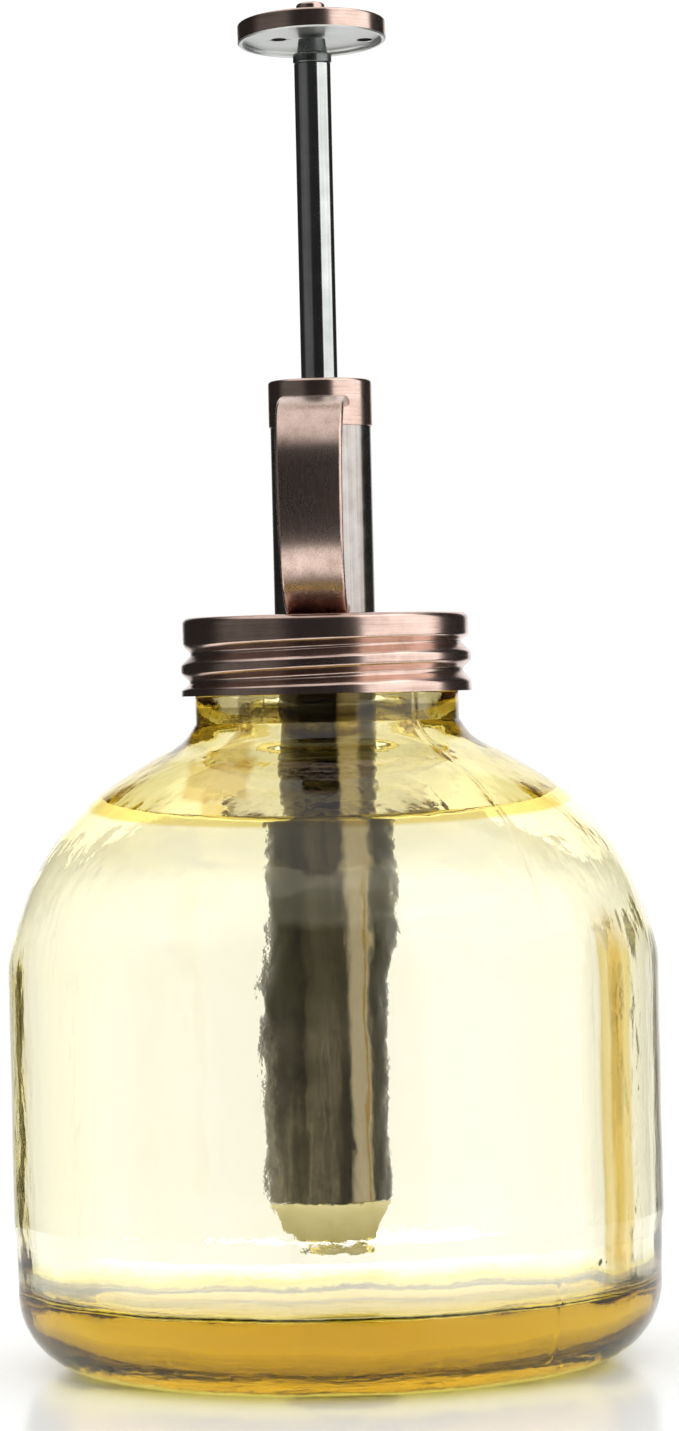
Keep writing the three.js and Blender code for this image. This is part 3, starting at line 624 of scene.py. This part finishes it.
def water():
    """The water wets the glass and the pump, so it reaches just inside both surfaces."""
    wet = 0.05
    wall = [p for p in cavity_wall() if p[1] < WATER_Z]
    last, beyond = wall[-1], cavity_wall()[len(wall)]
    share = (WATER_Z - last[1]) / (beyond[1] - last[1])
    edge_r = last[0] + (beyond[0] - last[0]) * share
    side = [(r + wet, z) for r, z in wall] + [(edge_r + wet, WATER_Z)]
    side = even(side, 1.6)
    surface = [
        (edge_r - 0.9, WATER_Z - 0.75),
        (edge_r - 2.2, WATER_Z - 1.2),
        (edge_r - 4.2, WATER_Z - MENISCUS_H),
        (TUBE_R + 3.2, WATER_Z - MENISCUS_H),
        (TUBE_R + 1.4, WATER_Z - 1.1),
        (TUBE_R + 0.4, WATER_Z - 0.5),
    ]
    pocket_r = TUBE_R - wet
    pocket = [
        (pocket_r, WATER_Z - 0.1),
        (pocket_r, TUBE_BOTTOM + wet),
        (pocket_r - 0.2, TUBE_BOTTOM - 0.1),
        (TUBE_R - 0.5 - 2 * wet, TUBE_BOTTOM - FOOT_LIP_H),
        (FOOT_TIP_R - 2 * wet, FOOT_BOTTOM + wet),
    ]
    profile = [(0, FLOOR_Z - wet)] + side + surface + even(pocket, 3) + [(0, FOOT_BOTTOM + wet)]

    def shape(r, z, angles, index):
        if index <= len(side):
            r = cavity_radius(r, z, angles)
        return r, z

    piece = revolve("water_body", profile, WATER, angles=facet_angles(14), shape=shape, sharp_deg=50)
    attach(piece, "bottle")
    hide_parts("water_fill")


# ---------- cap ----------
FLANGE_H = 3.9
FLANGE_INSET = 0.3
GROOVE_W = 1.6
BEAD_DEPTH = 1.15
LOWER_GROOVE_Z = 2.4
GROOVE_RISE = 0.57
SKIRT_SHEET = 0.45
CAP_SHEET = 0.8
CAP_EDGE = 0.9  # rounding of the top edge
UPPER_GROOVE = CAP_TOP - FLANGE_H - GROOVE_W / 2
LEVEL_FROM = CAP_TOP - 2 * CAP_SHEET


def skirt_radius(z):
    """A plain band, a groove, a bead, a second groove and the rim, from the top down."""
    dips = 0
    for centre in (UPPER_GROOVE, CAP_RIM + LOWER_GROOVE_Z):
        away = min(1, abs(z - centre) / (GROOVE_W * 0.95))  # a share of the groove's half-width
        dips += BEAD_DEPTH * 0.5 * (1 + math.cos(math.pi * away))
    inset = FLANGE_INSET * min(1, max(0, (z - UPPER_GROOVE + 0.3) / 0.6))
    return CAP_R - inset - dips


def cap():
    heights = np.linspace(CAP_RIM, CAP_TOP - CAP_EDGE, 64)
    outside = [(skirt_radius(z), z) for z in heights]
    band_r = CAP_R - FLANGE_INSET
    edge = arc(band_r - CAP_EDGE, CAP_TOP - CAP_EDGE, CAP_EDGE, 0, 90, 8)
    hole = BARREL_R - 0.8
    under = CAP_TOP - CAP_SHEET
    plate = [(hole, CAP_TOP), (hole, under), (band_r - 2 * SKIRT_SHEET, under)]
    inside = [(skirt_radius(z) - SKIRT_SHEET, z) for z in heights[::-1][2:]]
    profile = outside + edge + plate + inside

    def climb(r, z, angles, index):
        from_rim = (z - CAP_RIM) / LOWER_GROOVE_Z
        from_band = np.maximum(0, LEVEL_FROM - z) / (LEVEL_FROM - UPPER_GROOVE)
        return r, z + GROOVE_RISE * np.minimum(1, np.minimum(from_rim, from_band)) * np.sin(angles)

    piece = revolve("cap_copper", profile, COPPER, columns=160, shape=climb, sharp_deg=40)
    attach(piece, "head")
    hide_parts("cap_shell")


# ---------- barrel, collar and handle ----------
def barrel():
    neck_r = COLLAR_R - COLLAR_WALL - FIT
    low, high = bottom("pump_barrel"), top("pump_barrel")
    seat = CAP_TOP + FIT
    shoulder = COLLAR_BOTTOM - FIT
    packing = bottom("rod_packing") - FIT
    edge = 0.15
    profile = [
        (BARREL_BORE_R, low), (SPIGOT_R, low), (SPIGOT_R, seat), (BARREL_R - edge, seat),
        (BARREL_R, seat + edge), (BARREL_R, shoulder), (neck_r, shoulder), (neck_r, high),
        (PACKING_BORE_R, high), (PACKING_BORE_R, packing), (BARREL_BORE_R, packing),
    ]
    piece = revolve("barrel_copper", profile, BARREL, columns=96)
    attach(piece, "head")
    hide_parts("pump_barrel")


def collar():
    edge = 0.5
    inner, hole = COLLAR_R - COLLAR_WALL, ROD_R + RUN
    plate = COLLAR_TOP - COLLAR_PLATE
    profile = [(inner, COLLAR_BOTTOM), (COLLAR_R - 0.1, COLLAR_BOTTOM), (COLLAR_R, COLLAR_BOTTOM + 0.1)]
    profile += arc(COLLAR_R - edge, COLLAR_TOP - edge, edge, 0, 90, 6)
    profile += [(hole + 0.2, COLLAR_TOP), (hole, COLLAR_TOP - 0.2), (hole, plate), (inner, plate)]
    piece = revolve("collar_copper", profile, COPPER, columns=96)
    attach(piece, "head")
    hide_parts("top_collar")


HANDLE_W = 9.3
HANDLE_T = 1.25
HANDLE_REACH = 16.0
HANDLE_TAPER = 0.08


def handle():
    far = BARREL_R + HANDLE_REACH
    high = COLLAR_TOP - 0.55 * (COLLAR_TOP - COLLAR_BOTTOM)
    foot = CAP_TOP + HANDLE_T / 2 + FIT
    path = catmull([
        (BARREL_R - 1, high),
        (BARREL_R + 5, high + 0.2),
        (far - 4.2, high - 1.4),
        (far - 0.6, high - 6.4),
        (far, high - 13),
        (far - 1.2, foot + 8.2),
        (far - 4.6, foot + 2.6),
        (far - 9, foot),
        (far - 13, foot),
    ], 12)
    path = [p for p in path if p[0] > COLLAR_R - 0.15 or p[1] < high - 10]
    edge = HANDLE_T * 0.42
    across, thick = HANDLE_W / 2 - edge, HANDLE_T / 2 - edge
    corners = ((across, thick), (-across, thick), (-across, -thick), (across, -thick))
    section = []
    for quarter, (x, t) in enumerate(corners):
        section += arc(x, t, edge, 90 * quarter, 90 * quarter + 90, 5)
    verts, faces = [], []
    for i, (y, z) in enumerate(path):
        before, after = path[max(i - 1, 0)], path[min(i + 1, len(path) - 1)]
        along = Vector((after[0] - before[0], after[1] - before[1])).normalized()
        out = Vector((-along.y, along.x))
        taper = 1 - HANDLE_TAPER * (COLLAR_TOP - z) / (COLLAR_TOP - CAP_TOP)
        for x, t in section:
            reach, height = y + out.x * t, z + out.y * t
            verts.append((x * taper * MM, -reach * MM, max(height, CAP_TOP + 0.04) * MM))
    size = len(section)
    for i in range(len(path) - 1):
        for j in range(size):
            k = (j + 1) % size
            faces.append((i * size + j, (i + 1) * size + j, (i + 1) * size + k, i * size + k))
    faces.append(tuple(range(size)))
    faces.append(tuple(range((len(path) - 1) * size, len(path) * size))[::-1])
    piece = make_object("handle_copper", verts, faces, COPPER_STRIP, 40)
    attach(piece, "head")
    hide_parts("finger_handle")


# ---------- pump tube and foot ----------
def tube():
    bore, edge = TUBE_R - TUBE_WALL, 0.2
    profile = [(bore, TUBE_BOTTOM), (TUBE_R - edge, TUBE_BOTTOM), (TUBE_R, TUBE_BOTTOM + edge),
               (TUBE_R, TUBE_TOP), (bore, TUBE_TOP)]
    piece = revolve("tube_metal", even(profile, 8), TUBE_METAL, columns=96)
    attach(piece, "head")
    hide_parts("outer_tube")


def foot():
    """The white foot: a cone below the tube, and the plug, neck and spigot hidden inside it."""
    plug_r = TUBE_R - TUBE_WALL - FIT
    spigot_r = CYLINDER_BORE_R - FIT
    neck_z = TUBE_BOTTOM + FOOT_PLUG_H
    spigot_z = bottom("inner_cylinder") - FIT
    top_z = bottom("spring_seat") - FIT
    chamber_z = FOOT_BOTTOM + FOOT_CHAMBER_TOP
    seat_z = top("inlet_seat") + FIT
    edge = 0.25
    cone = [
        (FOOT_SEAT_R, FOOT_BOTTOM), (FOOT_TIP_R - edge, FOOT_BOTTOM), (FOOT_TIP_R, FOOT_BOTTOM + edge),
        (TUBE_R - 0.5, TUBE_BOTTOM - FOOT_LIP_H), (TUBE_R - 0.1, TUBE_BOTTOM - 0.4),
        (TUBE_R - 0.1, TUBE_BOTTOM - FIT),
    ]
    plug = [(plug_r, TUBE_BOTTOM - FIT), (plug_r, neck_z), (CYLINDER_R, neck_z), (CYLINDER_R, spigot_z)]
    spigot = [(spigot_r, spigot_z), (spigot_r, top_z)]
    throat = [
        (FOOT_THROAT_R, top_z), (FOOT_THROAT_R, chamber_z), (FOOT_CHAMBER_R, chamber_z),
        (FOOT_CHAMBER_R, seat_z), (FOOT_SEAT_R, seat_z),
    ]
    profile = cone + plug + spigot + throat
    piece = revolve("foot_white", profile, WHITE, columns=72)
    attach(piece, "head")
    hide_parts("foot_valve_body")


# ---------- nozzle ----------
ALONG_Y = Matrix.Rotation(math.radians(-90), 4, "X")
BOSS_R = 3.4
BOSS_REACH = 11.2
NOZZLE_BORE_R = 1.2
NOZZLE_THREAD_R = 2.6
NOZZLE_THREAD_L = 3.2
NOZZLE_CAP_R = 4.2
NOZZLE_CAP_L = 6.4
ORIFICE_R = 0.45
KNURLS = 36
KNURL_DEPTH = 0.18


def nozzle():
    height = Matrix.Translation((0, 0, (top("nozzle_cap") + bottom("nozzle_cap")) / 2 * MM))
    root, tip = BARREL_R - 0.9, BOSS_REACH + NOZZLE_THREAD_L
    boss = revolve("nozzle_boss_copper", [
        (NOZZLE_BORE_R, root), (BOSS_R, root), (BOSS_R, BOSS_REACH - 0.5), (BOSS_R - 0.4, BOSS_REACH),
        (NOZZLE_THREAD_R, BOSS_REACH), (NOZZLE_THREAD_R, tip), (NOZZLE_BORE_R, tip),
    ], COPPER, columns=48)
    boss.data.transform(height @ ALONG_Y)
    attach(boss, "head")
    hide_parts("nozzle_boss")

    start = BOSS_REACH + FIT
    end = start + NOZZLE_CAP_L
    knurl_end = end - 2.0
    socket_r, socket_end = NOZZLE_THREAD_R + FIT, start + 4.7
    outside = [
        (NOZZLE_CAP_R - 0.25, start), (NOZZLE_CAP_R, start + 0.3), (NOZZLE_CAP_R, knurl_end),
        (NOZZLE_CAP_R - 0.3, knurl_end + 0.25), (NOZZLE_CAP_R - 1.4, end - 0.15), (NOZZLE_CAP_R - 1.6, end),
    ]
    inside = [
        (ORIFICE_R + 0.35, end), (ORIFICE_R, end - 0.4), (ORIFICE_R, socket_end), (socket_r, socket_end),
        (socket_r, start),
    ]

    def knurl(r, z, angles, index):
        if start + 0.2 < z[0] < knurl_end + 0.1 and r[0] > NOZZLE_CAP_R - 0.1:
            r = r - KNURL_DEPTH / 2 + KNURL_DEPTH / 2 * np.cos(KNURLS * angles)
        return r, z

    spout = revolve("nozzle_cap_brass", even(outside, 0.6) + inside, COPPER, columns=KNURLS * 6, shape=knurl)
    spout.data.transform(height @ ALONG_Y)
    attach(spout, "head")
    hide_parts("nozzle_cap")


# ---------- spring ----------
SPRING_R = 3.6
WIRE_R = 0.45
SPRING_TURNS = 9


def spring():
    """Round wire on a helix, its turns evenly spaced between the CAD spring's ends."""
    low, high = bottom("return_spring") + WIRE_R, top("return_spring") - WIRE_R
    steps, around = SPRING_TURNS * 24, 10
    verts = []
    for i in range(steps + 1):
        turn = TAU * SPRING_TURNS * i / steps
        z = low + (high - low) * i / steps
        for k in range(around):
            a = TAU * k / around
            r = SPRING_R + WIRE_R * math.cos(a)
            height = z + WIRE_R * math.sin(a)
            verts.append((r * math.cos(turn) * MM, r * math.sin(turn) * MM, height * MM))
    faces = []
    for i in range(steps):
        for k in range(around):
            j = (k + 1) % around
            faces.append((i * around + k, i * around + j, (i + 1) * around + j, (i + 1) * around + k))
    faces.append(tuple(range(around))[::-1])
    faces.append(tuple(range(steps * around, (steps + 1) * around)))
    piece = make_object("spring_steel", verts, faces, STEEL)
    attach(piece, "head")
    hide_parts("return_spring")
    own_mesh(piece)


# ---------- plunger ----------
HUB_TOP_R = 1.85
BUTTON_R = 10.3
BUTTON_H = 2.7
BUTTON_RIM = 0.7
BUTTON_DISH = 0.7
BUTTON_CROWN = 0.25
BUTTON_TILT = math.radians(-4.7)
BUTTON_LEAN = math.radians(-1.3)
HOLE_R = 1.05
HOLE_DEPTH = 1.1
HOLES = ((-4.6, 0.3), (7.1, 3.4))


def rod():
    edge = 0.1
    profile = [
        (0, ROD_BOTTOM), (ROD_R - edge, ROD_BOTTOM), (ROD_R, ROD_BOTTOM + edge),
        (ROD_R, ROD_TOP - edge), (ROD_R - edge, ROD_TOP), (0, ROD_TOP),
    ]
    piece = revolve("rod_gunmetal", profile, GUNMETAL, columns=64)
    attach(piece, "plunger")
    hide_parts("plunger_rod")


def ferrule_and_hub():
    r, low, high = radius("rod_ferrule"), bottom("rod_ferrule"), top("rod_ferrule")
    profile = [(0, low), (r - 0.12, low), (r, low + 0.12)] + arc(r - 0.3, high - 0.3, 0.3, 0, 90, 5)
    profile += [(0, high)]
    ferrule = revolve("ferrule_gunmetal", profile, DULL_GUNMETAL, columns=64)
    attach(ferrule, "plunger")
    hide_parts("rod_ferrule")
    r, low, high = radius("knob_hub"), bottom("knob_hub"), top("knob_hub")
    profile = [(0, low), (r - 0.1, low), (r, low + 0.1), (r - 0.1, low + 0.8), (HUB_TOP_R, high), (0, high)]
    hub = revolve("hub_gunmetal", profile, DULL_GUNMETAL, columns=48)
    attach(hub, "plunger")
    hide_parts("knob_hub")


def carve(piece, cutter):
    """Cuts one mesh out of another for good."""
    cut = piece.modifiers.new("cut", "BOOLEAN")
    cut.operation = "DIFFERENCE"
    cut.solver = "EXACT"
    cut.material_mode = "TRANSFER"
    cut.object = cutter
    graph = bpy.context.evaluated_depsgraph_get()
    mesh = bpy.data.meshes.new_from_object(piece.evaluated_get(graph))
    piece.modifiers.clear()
    piece.data = mesh
    bpy.data.objects.remove(cutter)


def button():
    place = Matrix.Translation((0, 0, BUTTON_Z * MM))
    place = place @ Matrix.Rotation(BUTTON_TILT, 4, "X") @ Matrix.Rotation(BUTTON_LEAN, 4, "Y")
    rim_r = BUTTON_R - BUTTON_RIM
    small, edge = 0.15, 0.3
    under = even([(0, BUTTON_DISH), (rim_r - 0.2, BUTTON_DISH)], 1.5)
    under += [(rim_r, BUTTON_DISH - 0.2), (rim_r, small), (rim_r + small, 0), (BUTTON_R - 0.2, 0)]
    side = [(BUTTON_R, 0.2), (BUTTON_R, BUTTON_H - edge)]
    side += arc(BUTTON_R - edge, BUTTON_H - edge, edge, 0, 90, 5)
    crown = [(BUTTON_R * k, BUTTON_H + BUTTON_CROWN * (1 - k * k)) for k in (0.8, 0.5, 0.25)]
    profile = under + side + crown + [(0, BUTTON_H + BUTTON_CROWN)]
    piece = revolve("button_copper", profile, [COPPER, NICKEL], columns=128)
    inside_r = rim_r + small + 0.01
    for face in piece.data.polygons:
        inside = face.center.z < BUTTON_DISH * MM and face.center.xy.length < inside_r * MM
        if face.normal.z < -0.4 or inside:
            face.material_index = 1
    for x, y in HOLES:
        depth = BUTTON_DISH + HOLE_DEPTH
        # the holes' walls take the near-black painted shade from the cutter
        drill = revolve("drill", [(0, -1), (HOLE_R, -1), (HOLE_R, depth), (0, depth)], HOLE_SHADE, columns=24)
        drill.data.transform(Matrix.Translation((x * MM, y * MM, 0)))
        carve(piece, drill)
    piece.data.transform(place)
    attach(piece, "plunger")
    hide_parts("thumb_button")

    low = BUTTON_H + BUTTON_CROWN + FIT
    high = low + RIVET_H
    edge = 0.4
    profile = [(0, low), (RIVET_R - 0.1, low), (RIVET_R, low + 0.1)]
    profile += arc(RIVET_R - edge, high - edge, edge, 0, 90, 6) + [(0, high)]
    rivet = revolve("rivet_copper", profile, COPPER, columns=40)
    rivet.data.transform(place)
    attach(rivet, "plunger")
    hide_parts("knob_rivet")


# ---------- stage, light and camera ----------
BACKDROP = 1.03
THROUGH = 1.13
HIGH_THROUGH = 1.35
DEEP_THROUGH = 0.8  # light that has gone round inside the glass
SCATTERED_INSIDE = 2.3
SIDE_BOX = 1.3
WEAK_BOX = 0.1
OVERHEAD = 0.85
ROOM_DARK = 0.025
FILL = 1.3
FLOOR_R = 0.17


def studio():
    """A lit surround that isn't physical: its brightness depends on the direction and also on the
    kind of ray, whether seen directly, mirrored, come through glass or scattered."""
    world = bpy.data.worlds.new("studio")
    bpy.context.scene.world = world
    world.use_nodes = True
    tree = world.node_tree
    tree.nodes.clear()

    def add(kind, **settings):
        node = tree.nodes.new(kind)
        for key, value in settings.items():
            setattr(node, key, value)
        return node

    def calc(operation, a, b=0.0, c=0.0):
        node = add("ShaderNodeMath", operation=operation)
        for socket, value in zip(node.inputs, (a, b, c)):
            if isinstance(value, bpy.types.NodeSocket):
                tree.links.new(value, socket)
            else:
                socket.default_value = value
        return node.outputs[0]

    def band(value, low, high, soft):
        """1 between low and high, with soft edges."""
        rise = add("ShaderNodeMapRange", interpolation_type="SMOOTHSTEP")
        tree.links.new(value, rise.inputs["Value"])
        rise.inputs["From Min"].default_value = low - soft
        rise.inputs["From Max"].default_value = low + soft
        fall = add("ShaderNodeMapRange", interpolation_type="SMOOTHSTEP")
        tree.links.new(value, fall.inputs["Value"])
        fall.inputs["From Min"].default_value = high - soft
        fall.inputs["From Max"].default_value = high + soft
        fall.inputs["To Min"].default_value = 1
        fall.inputs["To Max"].default_value = 0
        return calc("MULTIPLY", rise.outputs["Result"], fall.outputs["Result"])

    coords = add("ShaderNodeTexCoord").outputs["Generated"]
    split = add("ShaderNodeSeparateXYZ")
    tree.links.new(coords, split.inputs[0])
    x, y, z = split.outputs
    # degrees round from the handle side (-Y) towards +X, and degrees up
    turn = calc("MULTIPLY", calc("ARCTAN2", x, calc("MULTIPLY", y, -1.0)), 180 / math.pi)
    rise = calc("MULTIPLY", calc("ARCSINE", z), 180 / math.pi)
    side_box = calc("MULTIPLY", band(turn, 34, 108, 3), band(rise, -25, 60, 6))
    weak_box = calc("MULTIPLY", band(turn, -92, -30, 10), band(rise, -25, 60, 10))
    overhead = band(rise, 46, 100, 10)
    back = calc("MULTIPLY", band(calc("ABSOLUTE", turn), 160, 200, 5), band(rise, -30, 50, 6))
    room = calc("MULTIPLY", side_box, SIDE_BOX)
    room = calc("MULTIPLY_ADD", weak_box, WEAK_BOX, room)
    room = calc("MULTIPLY_ADD", overhead, OVERHEAD, calc("ADD", room, ROOM_DARK))
    glossy = calc("MAXIMUM", room, calc("MULTIPLY", back, BACKDROP))
    lit_side = calc("ADD", band(turn, 26, 190, 8), band(turn, -190, -70, 14))
    through = calc("MAXIMUM", room, calc("MULTIPLY", lit_side, THROUGH))
    high = calc("MULTIPLY", band(rise, 24, 100, 8), band(calc("ABSOLUTE", turn), 45, 200, 12))
    through = calc("MAXIMUM", through, calc("MULTIPLY", high, HIGH_THROUGH))

    path = add("ShaderNodeLightPath").outputs
    deep = calc("GREATER_THAN", path["Transmission Depth"], 4.5)
    through = calc("MAXIMUM", through, calc("MULTIPLY", deep, DEEP_THROUGH))
    strength = calc("MULTIPLY", path["Is Camera Ray"], BACKDROP)
    mirrored = calc("GREATER_THAN", calc("SUBTRACT", path["Is Glossy Ray"], path["Is Transmission Ray"]), 0.5)
    strength = calc("MULTIPLY_ADD", mirrored, glossy, strength)
    strength = calc("MULTIPLY_ADD", path["Is Transmission Ray"], through, strength)
    scattered = calc("GREATER_THAN", path["Diffuse Depth"], 0.5)
    inside = calc("GREATER_THAN", path["Transmission Depth"], 3.5)
    fill = calc("MULTIPLY_ADD", inside, SCATTERED_INSIDE - FILL, FILL)
    strength = calc("MULTIPLY_ADD", scattered, calc("SUBTRACT", fill, strength), strength)
    background = add("ShaderNodeBackground")
    background.inputs["Color"].default_value = (1, 1, 1, 1)
    tree.links.new(strength, background.inputs["Strength"])
    output = add("ShaderNodeOutputWorld")
    tree.links.new(background.outputs[0], output.inputs["Surface"])


def stage_floor():
    n = Nodes("stage_white")
    n.set(Base_Color=(0.95, 0.95, 0.95, 1), Roughness=0.18, Specular_IOR_Level=0.3)
    count = 96
    angles = [TAU * i / count for i in range(count)]
    rim = [(FLOOR_R * math.sin(a), FLOOR_R * math.cos(a), 0) for a in angles]
    mesh = bpy.data.meshes.new("stage_floor")
    mesh.from_pydata(rim, [], [tuple(range(count))[::-1]])
    floor = bpy.data.objects.new("stage_floor", mesh)
    bpy.context.scene.collection.objects.link(floor)
    mesh.materials.append(n.material)


CAMERA_DISTANCE = 0.676
CAMERA_HEIGHT = 0.0933
AIM_RIGHT = 0.0017
AIM_HEIGHT = 0.0897
ROLL = math.radians(1.32)
SENSOR = 36.0
FOCAL = SENSOR * 4866 / 1431


def camera():
    data = bpy.data.cameras.new("camera")
    data.sensor_fit = "VERTICAL"
    data.sensor_height = SENSOR
    data.lens = FOCAL
    data.clip_start = 0.01
    obj = bpy.data.objects.new("camera", data)
    bpy.context.scene.collection.objects.link(obj)
    away = Vector((math.sin(CAMERA_TURN), -math.cos(CAMERA_TURN), 0))
    right = Vector((math.cos(CAMERA_TURN), math.sin(CAMERA_TURN), 0))
    obj.location = away * CAMERA_DISTANCE + Vector((0, 0, CAMERA_HEIGHT))
    target = right * AIM_RIGHT + Vector((0, 0, AIM_HEIGHT))
    obj.rotation_mode = "QUATERNION"
    obj.rotation_quaternion = (target - obj.location).to_track_quat("-Z", "Y") @ Quaternion((0, 0, 1), -ROLL)
    bpy.context.scene.camera = obj


def carried_over():
    """CAD nodes that keep their shape get a finished material."""
    finishes = {
        "steel": STEEL, "turned_brass": BRASS, "black_rubber": RUBBER, "white_plastic": WHITE,
        "antique_copper": COPPER, "gunmetal": GUNMETAL,
    }
    slots = {s["node"]: s["material_slot"] for s in frame["record"]["subparts"]}
    for name, node in frame["nodes"].items():
        if slots[name] in finishes:
            node.data.materials.clear()
            node.data.materials.append(finishes[slots[name]])


scene = bpy.context.scene
scene.view_settings.view_transform = "Standard"
scene.cycles.max_bounces = 24
scene.cycles.transmission_bounces = 20
scene.cycles.glossy_bounces = 8
scene.cycles.diffuse_bounces = 3
scene.cycles.caustics_refractive = True

camera()
stage_floor()
studio()
carried_over()
bottle()
water()
cap()
barrel()
collar()
handle()
tube()
foot()
nozzle()
spring()
rod()
ferrule_and_hub()
button()
